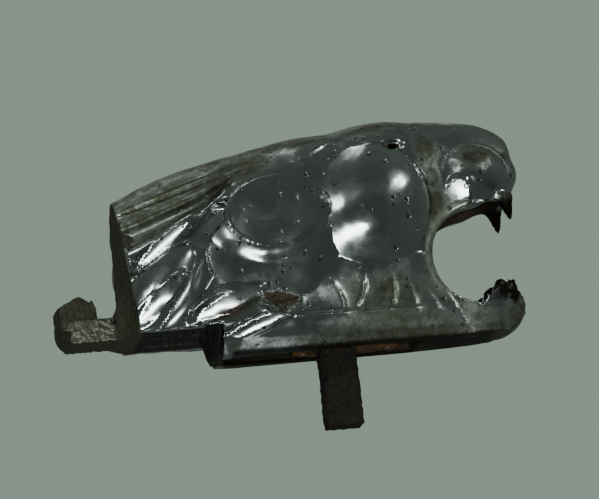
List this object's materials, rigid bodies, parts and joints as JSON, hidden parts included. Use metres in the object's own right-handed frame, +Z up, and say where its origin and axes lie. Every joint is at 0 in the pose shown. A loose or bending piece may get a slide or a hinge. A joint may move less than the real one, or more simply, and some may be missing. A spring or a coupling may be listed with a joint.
{
  "type": "hood ornament",
  "caption": "Roaring big-cat head ornament in worn chrome: hollow shell, unplated base with a stepped seat and a rear hook, and a rusty steel fixing post below.",
  "frame": {"origin": "on the centre plane, at the fixing post's axis, level with the front seat face", "axes": "+X forward, the way the head faces; +Z up, away from the seat; +Y to the beast's left"},
  "size_m": [0.1428, 0.0476, 0.0915],
  "materials": {
    "worn_chrome": "pitted and tarnished mirror plating",
    "bare_casting": "dull unplated casting, brown patina, file marks",
    "web_metal": "dull brown sheet edge",
    "bridge_rust": "orange-brown rusted steel",
    "post_rust": "dark red-brown rusted steel",
    "fixings": "tarnished steel"
  },
  "bodies": {
    "root": {"head_shell": "worn_chrome", "base_frame": "bare_casting", "centre_web": "web_metal", "post_bridge": "bridge_rust", "mounting_post": "post_rust", "post_pin": "fixings", "bridge_rivets": "bridge_rust", "web_pins": "fixings", "frame_screws": "fixings"}
  },
  "joints": []
}
